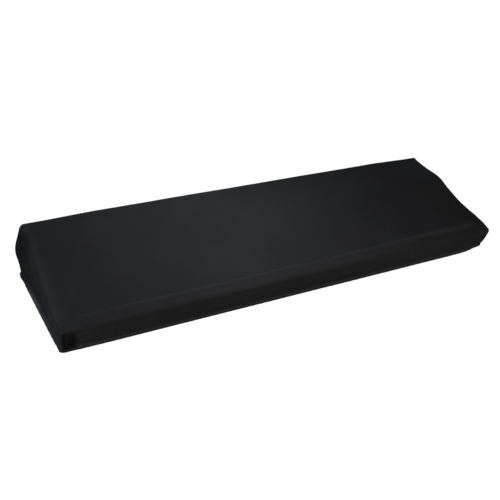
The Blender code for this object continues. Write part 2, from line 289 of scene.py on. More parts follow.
def drawIn(points):  # the elastic's pull at the corners, and the puckers beside them
    moved = points.copy()
    along, back, up = points[..., 0], points[..., 1], points[..., 2]
    start, right, behind = (0.0, 1.0), (hood["length"], -1.0), (hood["depth"], -1.0)
    sides = {"left": start, "front": start, "right": right, "back": behind}  # where each is, and inwards
    for end, face, amount, spread, height in cornerDraws:
        (endAlong, alongIn), (faceBack, backIn) = sides[end], sides[face]
        share = np.exp(-((along - endAlong) ** 2 + (back - faceBack) ** 2) / spread**2)
        pull = amount * share * np.clip(1 - up / height, 0, 1) ** 1.2 / math.sqrt(2)
        moved[..., 0] += pull * alongIn
        moved[..., 1] += pull * backIn
    for end, face, place, depth, halfWidth, height in cornerPuckers:
        (endAlong, alongIn), (faceBack, backIn) = sides[end], sides[face]
        there = (np.abs(back - faceBack) <= hood["foldRadius"]) & (up <= height)
        dent = depth * hill((along - endAlong) * alongIn, place, halfWidth) * swell(up / height) ** 0.7
        moved[..., 1] += np.where(there, dent, 0) * backIn
    return moved


def wander(points):  # the front seam runs a little further back towards the right end
    along, back = points[..., 0], points[..., 1]
    share = ramp(along, *hood["wanderGrows"]) * (1 - ramp(along - hood["length"], *hood["wanderEnds"]))
    near = hill(back, hood["seamBack"], hood["wanderSpread"]) * (points[..., 2] > hood["frontEdge"])
    shift = hood["seamWander"] * share * near * ramp(back, hood["foldRadius"], hood["wanderStart"])
    moved = points.copy()
    moved[..., 1] += shift
    moved[..., 2] += shift * hood["wanderRise"]
    return moved


def standOut(points):  # the left end's back corner reaches a little further out, most at its top
    along, back, up = points[..., 0], points[..., 1], points[..., 2]
    near = (1 - ramp(along, *hood["standOutFades"])) * hill(back, hood["depth"], hood["standOutSpread"])
    moved = points.copy()
    moved[..., 0] -= hood["standOut"] * near * ramp(up, *hood["standOutGrows"])
    return moved


def endPoints(side, cornerRows):  # an end face between the wrap's outermost points, hem first
    front, back = side[: cornerRows + 1], side[::-1][: cornerRows + 1]
    top = side[cornerRows : len(side) - cornerRows]
    share = ((top[:, 1] - top[0, 1]) / (top[-1, 1] - top[0, 1]))[None, :, None]
    riseFront = (front[:, 2] - front[0, 2]) / (front[-1, 2] - front[0, 2])
    riseBack = (back[:, 2] - back[0, 2]) / (back[-1, 2] - back[0, 2])
    rise = riseFront[:, None, None] * (1 - share) + riseBack[:, None, None] * share
    hem = front[0] * (1 - share) + back[0] * share
    upright = hem * (1 - rise) + top[None] * rise
    level = front[:, None] * (1 - share) + back[:, None] * share
    flat = hem * (1 - rise) + (top[0] * (1 - share) + top[-1] * share) * rise
    grid = upright + level - flat
    grid[:, 0], grid[:, -1], grid[-1] = front, back, top
    return grid


def buildSurface():  # the whole outer face: points, cloth coordinates, each panel's quads, seam lines
    rows, seamRow = girthRows()
    wrap = standOut(wander(drawIn(wrapPoints(rows))))
    rowCount, columnCount = wrap.shape[:2]
    cornerRows = len(faceUps(1.0)) + cloth["foldSteps"] // 2
    wrapIndex = np.arange(rowCount * columnCount).reshape(rowCount, columnCount)
    middle = wrap[:, columnCount // 2]
    girth = wayAlong(middle[:, 1:])
    run = np.linalg.norm(np.diff(wrap, axis=1), axis=2)
    fromLeft = np.concatenate([np.zeros((rowCount, 1)), np.cumsum(run, axis=1)], 1)
    across = fromLeft - fromLeft[:, columnCount // 2][:, None]
    wrapCoords = np.stack([across, np.repeat(girth[:, None], columnCount, 1)], 2)
    points, clothCoords = [wrap.reshape(-1, 3)], [wrapCoords.reshape(-1, 2)]
    count = rowCount * columnCount
    ends = []
    for column in (0, -1):
        grid = endPoints(wrap[:, column], cornerRows)
        line = wrapIndex[:, column]
        index = np.zeros(grid.shape[:2], int)
        index[:, 0], index[:, -1] = line[: cornerRows + 1], line[::-1][: cornerRows + 1]
        index[-1] = line[cornerRows : rowCount - cornerRows]
        inner = grid[:-1, 1:-1].reshape(-1, 3)
        index[:-1, 1:-1] = count + np.arange(len(inner)).reshape(grid.shape[0] - 1, -1)
        count += len(inner)
        points.append(inner)
        clothCoords.append(inner[:, 1:])
        ends.append(index)
    panels = [quadsOf(wrapIndex[: seamRow + 1]), quadsOf(wrapIndex[seamRow:])]
    panels += [quadsOf(ends[0])[:, ::-1], quadsOf(ends[1])]
    seams = [
        [wrapIndex[: seamRow + 1, 0], wrapIndex[: seamRow + 1, -1], wrapIndex[seamRow]],
        [wrapIndex[seamRow:, 0], wrapIndex[seamRow:, -1], wrapIndex[seamRow]],
        [wrapIndex[:, 0]],
        [wrapIndex[:, -1]],
    ]
    return np.concatenate(points), np.concatenate(clothCoords), panels, seams, wrapIndex, ends


def quadsOf(index):
    return np.stack([index[:-1, :-1], index[:-1, 1:], index[1:, 1:], index[1:, :-1]], 2).reshape(-1, 4)


def normalsOf(points, quads):
    p = points[quads]
    faceNormals = np.cross(p[:, 2] - p[:, 0], p[:, 3] - p[:, 1])
    normals = np.zeros_like(points)
    for corner in range(4):
        np.add.at(normals, quads[:, corner], faceNormals)
    return unit(normals)


def nearestOn(line, points):  # the nearest of a line's points, and how far it is
    best, which = np.full(len(points), 1e9), np.zeros(len(points), int)
    for k, at in enumerate(line):
        gap = np.einsum("ij,ij->i", points - at, points - at)
        closer = gap < best
        best[closer], which[closer] = gap[closer], k
    return np.sqrt(best), which


# What the needle and the elastic leave in the cloth, and the highlights painted into its colour. Heights are
# metres along the cloth's normal.
relief = {
    "seamValley": 0.00025,
    "seamValleyWidth": 0.0010,
    "allowanceWidth": 0.0072,  # the turned edges show through the panel that they are pressed to
    "allowanceRise": 0.0024,
    "allowanceFall": (-0.0020, 0.0035),  # from there, seen from its edge, over this width
    "frontAllowance": 0.0100,
    "frontSeamRise": 0.0014,
    "frontSeamHighlight": (0.30, 0.0040, 0.0050),  # how much highlight is painted on that ridge, where and how wide
    "towardsRight": (0.80, 0.45),  # it changes from this place along, over this length
    "widerRight": 0.8,
    "palerRight": 1.4,
    "belowSeamHighlight": (0.17, 0.0240, 0.0150),  # painted highlight on the band below it
    "belowSeamGrows": (0.60, 0.35),
    "seamFades": (0.030, 0.055),  # the front seam pulls flat this near the ends
    "leftEdgeHighlight": (0.16, 0.016),  # painted highlight on the left end edge: how much and how wide
    "leftEdgeMost": (0.46, 0.250, 0.045),  # more there: how much, how far back and how wide
    "leftCornerHighlight": (1.2, 0.360, 0.032),  # and at its back corner
    "leftCornerUps": (0.130, 0.020),  # from this height, over this height
    "besideEdgeHighlight": (0.15, 0.015, 0.011),  # the top beside it
    "endSeamRise": 0.0003,
    "hemBulge": 0.0017,  # how much further than its roll the gathered hem stands out
    "hemBulgeTop": 0.0108,
    "hemFlare": {"left": (0.0030, 0.0150), "other": (0.0, 0.0150)},  # it stands out, up to this height
    "nearBack": (0.29, 0.07),  # it dies away from there, over this length
    "leftFlareMore": (0.0036, 0.354, 0.016),  # how much, where and how wide
    "hemHighlight": {"left": (0.30, 0.0180), "front": (0.50, 0.0110), "other": (0.5, 0.0100)},  # painted highlight along the hem
    "hemHighlightFade": 0.0040,
    "leftHemHighlight": (  # times that value, by place back from the front
        (0.02, 0.07, 0.105, 0.135, 0.175, 0.21, 0.25, 0.29, 0.34),
        (1.0, 2.9, 4.4, 6.0, 6.8, 15.0, 12.0, 6.5, 2.0),
    ),
    "hemWaist": {"left": 0.0030, "right": 0.0020, "front": 0.0001, "other": 0.0010},  # it sinks in
    "waistAt": (0.0155, 0.0065),  # its height and half width
    "waistLoss": 0.8,  # what of it dies away near the back
    "hemMix": 0.014,  # round the corners one face's hem turns into the next one's
    "seamStill": 0.010,
    "hemGroove": 0.00030,
    "grooveAt": (0.0118, 0.0022),
    "hemStill": 0.012,  # the hem only moves level, and the cloth freely this far above it
    "gather": 0.00030,  # small waves that the elastic draws up
    "gatherAt": (0.0120, 0.020),
    "gatherPatches": (0.35, 0.65, 9.0),  # their least share, what patches add, patches to a metre
    "gatherLengths": (0.0113, 0.0171, 0.0262),
    "slack": (0.0009, 6.0),  # height and waves to a metre of the broad unevenness
    "ripple": (0.00022, 26.0),
    "seed": (3.7, 1.9, 8.2),
}

# Creases by face: from and to on that face, height (a trough is below 0), half width and sideways bow.
# Places are along and back on the top, along and up on the front and back, back and up on the ends.
creases = {
    "top": [
        (0.062, 0.030, 0.078, 0.215, -0.0022, 0.017, 0.004),
        (0.020, 0.050, 0.150, 0.150, 0.0012, 0.014, 0.010),
        (0.030, 0.100, 0.170, 0.210, -0.0010, 0.016, 0.012),
        (0.045, 0.330, 0.230, 0.255, 0.0009, 0.013, -0.010),
        (0.110, 0.175, 0.520, 0.160, -0.0008, 0.016, 0.006),
        (0.420, 0.120, 0.900, 0.128, 0.0006, 0.012, -0.006),
        (0.560, 0.235, 0.860, 0.220, 0.0006, 0.015, 0.008),
        (0.830, 0.170, 1.250, 0.190, -0.0009, 0.016, -0.006),
        (1.180, 0.300, 1.335, 0.200, 0.0011, 0.014, 0.010),
        (1.140, 0.100, 1.345, 0.060, 0.0010, 0.012, -0.006),
        (1.225, 0.130, 1.352, 0.145, -0.0012, 0.013, 0.006),
        (0.640, 0.050, 0.655, 0.360, 0.0005, 0.007, 0.004),
        (0.318, 0.045, 0.322, 0.350, 0.0004, 0.007, -0.004),
        (0.992, 0.045, 0.984, 0.352, 0.0005, 0.007, 0.003),
    ],
    "front": [
        (0.012, 0.052, 0.023, 0.004, 0.0016, 0.0035, 0.001),
        (0.016, 0.056, 0.060, 0.047, -0.0016, 0.0040, 0.000),
        (0.110, 0.015, 0.330, 0.026, 0.0006, 0.008, 0.002),
        (0.420, 0.030, 0.700, 0.022, -0.0005, 0.008, -0.002),
        (0.780, 0.018, 1.080, 0.032, 0.0006, 0.008, 0.002),
        (1.150, 0.045, 1.320, 0.010, 0.0012, 0.008, 0.002),
        (1.210, 0.050, 1.340, 0.030, -0.0012, 0.007, -0.002),
    ],
    "back": [
        (0.010, 0.030, 0.190, 0.120, 0.0016, 0.013, 0.010),
        (0.030, 0.020, 0.330, 0.070, -0.0012, 0.014, -0.008),
        (0.260, 0.100, 0.560, 0.060, 0.0009, 0.014, 0.008),
        (0.520, 0.040, 0.860, 0.090, -0.0008, 0.016, 0.006),
        (0.790, 0.110, 1.090, 0.050, 0.0009, 0.014, -0.008),
        (1.060, 0.040, 1.345, 0.110, -0.0014, 0.014, 0.008),
        (1.180, 0.100, 1.340, 0.025, 0.0016, 0.012, -0.008),
    ],
    "left": [
        (0.045, 0.060, 0.180, 0.020, 0.0015, 0.009, -0.004),
        (0.110, 0.085, 0.300, 0.035, -0.0018, 0.014, -0.006),
        (0.215, 0.115, 0.362, 0.060, 0.0018, 0.012, 0.008),
        (0.250, 0.030, 0.365, 0.110, -0.0015, 0.010, 0.006),
    ],
    "right": [
        (0.050, 0.055, 0.170, 0.018, 0.0018, 0.008, -0.004),
        (0.080, 0.080, 0.250, 0.060, -0.0020, 0.012, -0.006),
        (0.200, 0.100, 0.330, 0.020, 0.0020, 0.012, 0.008),
        (0.230, 0.125, 0.362, 0.070, -0.0018, 0.012, -0.008),
    ],
}

# Tucks under the front edge beside the corners: end, distance from it, depth, half width, bottom and top,
# and how much shade is painted inside at the bottom and at the top.
tucks = [
    ("left", 0.0050, 0.0000, 0.0065, 0.005, 0.060, 0.38, 0.30),
    ("left", 0.0100, 0.0110, 0.0072, 0.005, 0.060, 0.60, 0.90),
    ("left", 0.0285, 0.0190, 0.0112, 0.005, 0.060, 0.88, 0.20),
    ("left", 0.0520, 0.0030, 0.0080, 0.012, 0.048, 0.0, 0.0),
    ("right", 0.0300, 0.0030, 0.0090, 0.012, 0.050, 0.0, 0.0),
]
tuckStart = {"top": 0.007, "bottom": 0.005, "seam": 0.009}  # it deepens over this
shadeHidesHighlight = 0.4  # no painted hem highlight where this much shade is painted


def tuckShapes(along, up):  # how far the cloth sinks in them, and how much shade is painted there
    height, tuckShade = np.zeros(len(along)), np.zeros(len(along))
    for end, place, depth, halfWidth, low, high, shadeLow, shadeHigh in tucks:
        fromEnd = along if end == "left" else hood["length"] - along
        fall = np.clip((high - up) / (high - low), 0, 1) ** 0.5
        fall *= ease((high - up) / tuckStart["top"]) * ease((up - low) / tuckStart["bottom"])
        across = np.abs((fromEnd - place) / halfWidth)
        height -= depth * fall * np.exp(-(across**1.7))
        # painted shade inside the tuck, from its bottom to its top
        shadeHere = shadeLow + (shadeHigh - shadeLow) * np.clip(up / high, 0, 1)
        tuckShade += shadeHere * fall**0.5 * np.exp(-(across**2))
    return height, tuckShade


def creaseHeights(a, b, lines):
    height = np.zeros(len(a))
    for a0, b0, a1, b1, rise, halfWidth, bow in lines:
        da, db = a1 - a0, b1 - b0
        length = math.hypot(da, db)
        t = ((a - a0) * da + (b - b0) * db) / length**2
        off = ((b - b0) * da - (a - a0) * db) / length - bow * swell(t)
        height += rise * swell(t) ** 0.7 * hill(off, 0, halfWidth)
    return height


def noiseAt(points, waves):
    seed = Vector(relief["seed"])
    return np.array([noise.noise(Vector(p) * waves + seed) for p in points])


def seamHeights(distance, rise, width):
    valley = relief["seamValley"] * hill(distance, 0, relief["seamValleyWidth"])
    ridge = ease(distance / relief["allowanceRise"]) * (1 - ramp(distance - width, *relief["allowanceFall"]))
    return rise * ridge - valley


points, clothCoords, panels, seams, wrapIndex, endIndexes = buildSurface()
rowCount, columnCount = wrapIndex.shape
faceRowCount = len(faceUps(1.0))
normals = normalsOf(points, np.concatenate(panels))


def seamFade(along):
    start, length = relief["seamFades"]
    return ramp(along, start, length) * ramp(hood["length"] - along, start / 2, length)


# painted highlight along the front seam's ridge, and on the band below it
def paintedHighlightByFrontSeam(panel, along, distance, once):
    paintedAmount, place, width = relief["frontSeamHighlight"]
    toRight = ramp(along, *relief["towardsRight"])
    width = width * (1 + relief["widerRight"] * toRight)
    fade = seamFade(along) * (1 + relief["palerRight"] * toRight)
    side = 1 if panel == frontBand else -1
    added = paintedAmount * fade * once * hill(distance * side, place, width)
    if panel == frontBand:
        paintedAmount, place, width = relief["belowSeamHighlight"]
        added += paintedAmount * ramp(along, *relief["belowSeamGrows"]) * hill(distance, place, width)
    return added


# painted highlight along the left end edge, at its back corner and on the top beside it
def paintedHighlightByLeftEdge(panel, back, up, distance, once):
    paintedAmount, width = relief["leftEdgeHighlight"]
    most, place, spread = relief["leftEdgeMost"]
    paintedAmount += most * hill(back, place, spread)
    most, place, spread = relief["leftCornerHighlight"]
    paintedAmount += most * hill(back, place, spread) * ramp(up, *relief["leftCornerUps"])
    added = paintedAmount * once * hill(distance, 0, width)
    if panel == topBack:
        paintedAmount, place, width = relief["besideEdgeHighlight"]
        added += paintedAmount * hill(distance, place, width)
    return added


# the second array holds painted highlight where above 0 and painted shade where below 0
heights, paintedLight = np.zeros(len(points)), np.zeros(len(points))
seamReach = []  # for each panel and seam: how far the panel's points are from it, and its nearest point
fromEndSeam = np.full(len(points), 1.0)
for panel, lines in enumerate(seams):
    own = np.unique(panels[panel])
    reach = []
    for number, line in enumerate(lines):
        distance, which = nearestOn(points[line], points[own])
        reach.append((distance, which))
        onFrontSeam = number == 2
        if not onFrontSeam:
            fromEndSeam[own] = np.minimum(fromEndSeam[own], distance)
        pressedHere = panel in ((frontBand,) if onFrontSeam else (frontBand, topBack))
        rise = relief["frontSeamRise" if onFrontSeam else "endSeamRise"] if pressedHere else 0.0
        added = seamHeights(distance, rise, relief["frontAllowance" if onFrontSeam else "allowanceWidth"])
        once = np.where(distance < 1e-7, 0.5, 1.0)  # a seam's own points are met from both of its panels
        if onFrontSeam:
            added *= seamFade(points[own, 0])
            paintedLight[own] += paintedHighlightByFrontSeam(panel, points[own, 0], distance, once)
        heights[own] += added * once
        if panel in (topBack, leftEnd) and number == 0:
            paintedLight[own] += paintedHighlightByLeftEdge(panel, points[own, 1], points[own, 2], distance, once)
    seamReach.append(reach)

# Which face each point lies on, and its two places there.
wrapRow, backRow = np.repeat(np.arange(rowCount), columnCount), rowCount - 1 - faceRowCount
faces = {
    "front": (np.flatnonzero(wrapRow <= faceRowCount), 0, 2),
    "back": (np.flatnonzero(wrapRow >= backRow), 0, 2),
    "top": (np.flatnonzero((wrapRow > faceRowCount) & (wrapRow < backRow)), 0, 1),
    "left": (np.unique(panels[leftEnd]), 1, 2),
    "right": (np.unique(panels[rightEnd]), 1, 2),
}


def hemValue(key, face, ends, share):  # a setting of this face, turning into the end's where they meet
    settings = relief[key]
    here = np.array([settings.get(face, settings["other"])]).ravel()
    there = np.array([[settings.get(end, settings["other"])] for end in ends]).reshape(len(ends), -1)
    return here + (there - here) * share[:, None]


for face, (own, a, b) in faces.items():
    still = ease(fromEndSeam[own] / relief["seamStill"])  # the seams lie calmer than the cloth between them
    heights[own] += creaseHeights(points[own, a], points[own, b], creases[face]) * still
    if face == "top":
        continue
    if face in ("front", "back"):
        here = fromEndSeam[own] > 1e-7
        own, still = own[here], still[here]
    run, up = points[own, a], points[own, 2]
    ends = np.where(points[own, 0] < hood["length"] / 2, "left", "right")
    share = 1 - ease(fromEndSeam[own] / relief["hemMix"])
    lengths = enumerate(relief["gatherLengths"])
    wave = sum(np.sin(2 * math.pi * run / length + 1.7 * k) for k, length in lengths)
    least, more, patches = relief["gatherPatches"]
    patch = least + more * np.abs(noiseAt(points[own] * np.array([1, 1, 0]), patches)) * 2
    fade = hill(up, *relief["gatherAt"])
    heights[own] += relief["gather"] * wave * patch * fade * still
    heights[own] -= relief["hemGroove"] * hill(up, *relief["grooveAt"])
    heights[own] += relief["hemBulge"] * swell(up / relief["hemBulgeTop"])
    flare, flareTop = hemValue("hemFlare", face, ends, share).T
    nearBack = ramp(points[own, 1], *relief["nearBack"])
    flare *= 1 - nearBack
    if face == "left":
        more, place, width = relief["leftFlareMore"]
        flare += more * hill(run, place, width)
    heights[own] += flare * (1 - ease(up / flareTop))
    waist = hemValue("hemWaist", face, ends, share)[:, 0] * (1 - relief["waistLoss"] * nearBack)
    heights[own] -= waist * hill(up, *relief["waistAt"])
    # painted highlight along the hem
    paintedHighlight, highlightTop = hemValue("hemHighlight", face, ends, share).T
    if face == "left":
        paintedHighlight *= np.interp(run, *relief["leftHemHighlight"])
    paintedHighlight *= 1 - ramp(up, highlightTop, relief["hemHighlightFade"])
    if face == "front":
        # the tucks hold painted shade, which also clears the painted hem highlight
        depth, tuckShade = tuckShapes(points[own, 0], up)
        heights[own] += depth * ease(fromEndSeam[own] / tuckStart["seam"])
        paintedHighlight = paintedHighlight * (1 - np.minimum(tuckShade / shadeHidesHighlight, 1)) - tuckShade
    paintedLight[own] += paintedHighlight
broad, fine = relief["slack"], relief["ripple"]
heights += broad[0] * noiseAt(points, broad[1]) + fine[0] * noiseAt(points, fine[1])
outward = normals.copy()
outward[:, 2] *= ramp(points[:, 2], cloth["hemHeight"], relief["hemStill"])
shaped = points + unit(outward) * heights[:, None]
normals = normalsOf(shaped, np.concatenate(panels))
print("stage 2: the cloth's face has", len(shaped), "points")


def placed(name, data):  # a new object in the scene
    thing = bpy.data.objects.new(name, data)
    bpy.context.scene.collection.objects.link(thing)
    return thing


def closedSheet(name, outer, inner, quads, coords, paintedAmount):  # both faces and the rim between them
    directed = np.concatenate([quads[:, [k, (k + 1) % 4]] for k in range(4)])
    keys = directed[:, 0] * (len(outer) + 1) + directed[:, 1]
    backKeys = directed[:, 1] * (len(outer) + 1) + directed[:, 0]
    rim = directed[~np.isin(keys, backKeys)]
    count = len(outer)
    rimQuads = np.stack([rim[:, 1], rim[:, 0], rim[:, 0] + count, rim[:, 1] + count], 1)
    faces = np.concatenate([quads, quads[:, ::-1] + count, rimQuads])
    mesh = bpy.data.meshes.new(name)
    mesh.from_pydata(np.concatenate([outer, inner]).tolist(), [], faces.tolist())
    mesh.polygons.foreach_set("use_smooth", np.ones(len(faces), bool))
    layer = mesh.uv_layers.new(name="cloth")
    layer.data.foreach_set("uv", np.concatenate([coords, coords])[faces.ravel()].astype(np.float32).ravel())
    # the attribute carries the painted highlight and painted shade
    attribute = mesh.attributes.new("paintedLight", "FLOAT", "POINT")
    attribute.data.foreach_set("value", np.concatenate([paintedAmount, paintedAmount]).astype(np.float32))
    mesh.update()
    return placed(name, mesh)


def panelSheet(panel):  # one panel: its face, its turned seam edges and its turned-up hem
    thick, gap = cloth["thickness"], cloth["allowanceGap"]
    own = np.unique(panels[panel])
    local = np.full(len(shaped), -1)
    local[own] = np.arange(len(own))
    quads = local[panels[panel]]
    outer, out, up = shaped[own].copy(), normals[own].copy(), points[own, 2]
    coords = clothCoords[own]
    slide = np.zeros_like(outer)  # of the inner face, away from the seams
    opened = np.zeros_like(outer)  # of the seam's own points, half the gap
    directed = {tuple(edge) for k in range(4) for edge in quads[:, [k, (k + 1) % 4]].tolist()}
    strips = []
    for line, (distance, which) in zip(seams[panel], seamReach[panel]):
        at = local[line]
        into = unit(np.cross(out[at], np.gradient(points[line], axis=0)))
        near = (distance > 1e-6) & (distance < cloth["besideSeam"])
        toward = outer[near] - shaped[line][which[near]]
        into *= np.sign(np.sum(toward * into[which[near]]))
        beside = distance < gap + thick + cloth["slideReach"]
        free = gap + thick + cloth["slideSlope"] * distance - distance
        slide[beside] += into[which[beside]] * np.maximum(free[beside], 0)[:, None]
        opened[at] += into * gap
        strips.append((at, into))
    # the hem's fold, and the cloth inside it kept above the fold
    fold = cloth["hemThickness"] / 2
    isHem = (up < fold) & np.isin(own, np.concatenate(hemRows[panel][:4]))
    tuck = np.where(isHem, fold - np.sqrt(np.maximum(fold**2 - (fold - np.minimum(up, fold)) ** 2, 0)), 0)
    flat = unit(out * np.array([1, 1, 0]))
    inner = outer - out * thick + slide
    inner[isHem] = outer[isHem] - flat[isHem] * thick + slide[isHem]
    lift = np.where(isHem, fold * cloth["foldClear"] + 0.1 * up - outer[:, 2], 0)
    inner[:, 2] += np.maximum(lift, 0)
    outer = outer - flat * tuck[:, None] + opened
    allOuter, allInner, allQuads, allCoords = [outer], [inner], [quads], [coords]
    count = len(outer)

    def addRings(at, rings):  # rings of new points beside an edge of the panel
        nonlocal count
        forward = (int(at[0]), int(at[1])) in directed
        before = at
        for ringOuter, ringInner, shift in rings:
            index = count + np.arange(len(at))
            count += len(at)
            allOuter.append(ringOuter)
            allInner.append(ringInner)
            allCoords.append(coords[at] + shift)
            pairs = [before[1:], before[:-1], index[:-1], index[1:]]
            allQuads.append(np.stack(pairs if forward else [pairs[1], pairs[0], pairs[3], pairs[2]], 1))
            before = index

    for at, into in strips:
        height = points[own[at], 2]
        deeper = (cloth["allowanceDepth"] - cloth["hemAllowance"]) * ramp(height, *cloth["hemAllowanceTo"])
        rings = []
        for drop in (np.full((len(at), 1), cloth["turnDepth"]), (cloth["hemAllowance"] + deeper)[:, None]):
            innerDrop = np.maximum(drop, thick * 1.04)
            rings.append((outer[at] - out[at] * drop, outer[at] + into * thick - out[at] * innerDrop, drop))
        addRings(at, rings)
    # the hem goes round its fold, then up the inside of the wall
    full, rings = cloth["hemThickness"], []
    risen = np.array([0, 0, 1.0])
    hem = local[hemRows[panel][0]]
    base = shaped[own[hem]] + opened[hem]
    for step in (1, 2, 3):
        angle = step * math.pi / 6
        inset, rise = fold + fold * math.sin(angle), fold - fold * math.cos(angle)
        innerInset, innerRise = (fold + turn * step for turn in cloth["foldTurn"])
        ringOuter = base - flat[hem] * inset + risen * rise
        ringInner = base - flat[hem] * innerInset + risen * innerRise
        rings.append((ringOuter, ringInner, -rise))
    for up, row in zip(hemUps[4:], hemRows[panel][4:]):
        at = local[row]
        wall = shaped[own[at]] + opened[at]
        rings.append((wall - out[at] * full, wall - out[at] * (full - thick + cloth["hemClear"]), -up))
    addRings(hem, rings)
    outerAll, innerAll = (np.concatenate(part) - np.array(hood["bearing"]) for part in (allOuter, allInner))
    # painted highlight and shade for the face's points, none on the new rings
    paintedAmount = np.concatenate([paintedLight[own], np.zeros(len(outerAll) - len(own))])
    return closedSheet(
        sheetNames[panel], outerAll, innerAll, np.concatenate(allQuads), np.concatenate(allCoords), paintedAmount
    )


sheetNames = ["front_cloth", "top_back_cloth", "left_end_cloth", "right_end_cloth"]
hemRows = [list(index[: len(hemUps)]) for index in (wrapIndex, wrapIndex[::-1], *endIndexes)]
sheets = [panelSheet(panel) for panel in range(4)]
print("stage 3: four closed sheets of cloth")

# The two rows of stitches round the hem.
hemStitch = {
    "heights": (0.0105, 0.0130),
    "pitch": 0.0032,
    "length": 0.0024,
    "width": 0.00055,
    "sunk": 0.00005,
    "rim": (0.82, 0.55, 0.40),  # the rounded ends: how far out along, across and up
    "flat": 0.85,
}


def stitchBead():  # one stitch along X, modelled once
    bpy.ops.mesh.primitive_cylinder_add(vertices=6, end_fill_type="TRIFAN", rotation=(0, math.pi / 2, 0))
    bead = bpy.context.object
    bpy.ops.object.transform_apply()
    bpy.ops.object.mode_set(mode="EDIT")
    bpy.ops.mesh.select_all(action="SELECT")
    bpy.ops.mesh.bisect(plane_co=(0, 0, 0), plane_no=(1, 0, 0))
    bpy.ops.object.mode_set(mode="OBJECT")
    length, width = hemStitch["length"] / 2, hemStitch["width"] / 2
    rimAlong, rimAcross, rimUp = hemStitch["rim"]
    for vert in bead.data.vertices:
        far = abs(vert.co.x) > 0.5
        middle = math.hypot(vert.co.y, vert.co.z) < 0.1
        vert.co.x *= length * (rimAlong if far and not middle else 1.0)
        vert.co.y *= width * (rimAcross if far else 1.0)
        vert.co.z *= width * (rimUp if far else hemStitch["flat"])
    verts = np.array([v.co for v in bead.data.vertices])
    faces = [list(p.vertices) for p in bead.data.polygons]
    bpy.data.objects.remove(bead)
    return verts, faces


def between(at, way, values):  # the values at these places on the way
    return np.stack([np.interp(at, way, values[:, k]) for k in range(3)], 1)


def stitchRows():
    verts, faces = stitchBead()
    allVerts, allFaces, count = [], [], 0
    for height in hemStitch["heights"]:
        for index in (wrapIndex, wrapIndex[::-1], *endIndexes):
            row = int(np.argmin(np.abs(points[index[: faceRowCount, 0], 2] - height)))
            line, out = shaped[index[row]], normals[index[row]]
            way = wayAlong(line)
            stitches = int(way[-1] / hemStitch["pitch"])
            at = (np.arange(stitches) + 0.5) * way[-1] / stitches
            centre, away = between(at, way, line), between(at, way, out)
            along = unit(between(at + 0.001, way, line) - between(at - 0.001, way, line))
            side = unit(np.cross(away, along))
            away = np.cross(along, side)
            centre -= away * hemStitch["sunk"] + np.array(hood["bearing"])
            for c, x, y, z in zip(centre, along, side, away):
                allVerts.append(c + verts[:, :1] * x + verts[:, 1:2] * y + verts[:, 2:] * z)
                allFaces += [[v + count for v in face] for face in faces]
                count += len(verts)
    mesh = bpy.data.meshes.new("hem_stitches")
    mesh.from_pydata(np.concatenate(allVerts).tolist(), [], allFaces)
    mesh.polygons.foreach_set("use_smooth", np.ones(len(allFaces), bool))
    mesh.update()
    return placed("hem_stitches", mesh)


stitches = stitchRows()
print("stage 4: hem stitches,", len(stitches.data.polygons), "faces")


class Signal:  # a shader's output that takes Python's arithmetic
    def __init__(self, paint, socket):
        self.paint, self.socket = paint, socket

    def work(self, operation, *values):
        return self.paint.add("ShaderNodeMath", {"operation": operation}, dict(enumerate(values)))

    def __add__(self, other):
        return self.work("ADD", self, other)

    def __mul__(self, other):
        return self.work("MULTIPLY", self, other)

    __radd__ = __add__

    def sine(self):
        return self.work("SINE", self)

    def level(self, low, high):  # 0 below low, 1 above high, smooth between
        sockets = {"Value": self, "From Min": low, "From Max": high}
        return self.paint.add("ShaderNodeMapRange", {"interpolation_type": "SMOOTHSTEP"}, sockets)


class Paint:  # a material's tree of nodes
    def __init__(self, name):
        self.material = bpy.data.materials.new(name)
        self.material.use_nodes = True
        self.tree = self.material.node_tree
        self.tree.nodes.clear()

    def add(self, kind, settings=None, sockets=None, output=0):
        node = self.tree.nodes.new(kind)
        for key, value in (settings or {}).items():
            setattr(node, key, value)
        for key, value in (sockets or {}).items():
            if isinstance(value, Signal):
                self.tree.links.new(value.socket, node.inputs[key])
            else:
                node.inputs[key].default_value = value
        return Signal(self, node.outputs[output])

    def split(self, vector):
        node = self.add("ShaderNodeSeparateXYZ", None, {"Vector": vector}).socket.node
        return [Signal(self, socket) for socket in node.outputs]

    def grain(self, scale, detail):
        place = self.add("ShaderNodeTexCoord", None, None, 3)
        return self.add("ShaderNodeTexNoise", None, {"Vector": place, "Scale": scale, "Detail": detail})

    def bump(self, height, depth, strength):
        return self.add("ShaderNodeBump", None, {"Strength": strength, "Distance": depth, "Height": height})

    def mix(self, factor, first, second):
        return self.add("ShaderNodeMix", {"data_type": "RGBA"}, {0: factor, 6: first, 7: second}, 2)

    def finish(self, sockets):
        shader = self.add("ShaderNodeBsdfPrincipled", None, sockets)
        end = self.tree.nodes.new("ShaderNodeOutputMaterial")
        self.tree.links.new(shader.socket, end.inputs["Surface"])
        return self.material


# The cloth's finish: a matt black stretch knit. Colours are linear.
knit = {
    "wale": 0.0013,  # width of a column of loops
    "course": 0.0010,  # height of a row of loops
    "depth": 0.00010,
    "fuzzDepth": 0.00006,
    "roughness": 0.86,
    "roughnessChange": 0.10,
    "sheen": 0.02,
    "specular": 0.06,
    "grains": ((5.0, 3.0), (60.0, 4.0), (1400.0, 2.0)),  # clouds, mottling and fuzz: scale and detail
    "shade": 0.16,  # how much the dye's depth changes over the cloth
    "paintedLight": 4.0,  # how much lighter the colour is under the fullest painted highlight
    "paintedLightShare": (0.175, 0.15),  # the share of each unit of painted highlight, and what the mottling adds to it
    "deep": (0.16, 0.17, 0.25),  # how much of each colour is left under the fullest painted shade
}
endColour = (0.0143, 0.0144, 0.0150)
panelColours = [(0.0155, 0.0155, 0.0156), (0.0153, 0.0155, 0.0160), endColour, endColour]


def opaque(colour, share):  # a colour times one share, or a share of each part
    return (*(np.array(colour) * share), 1.0)


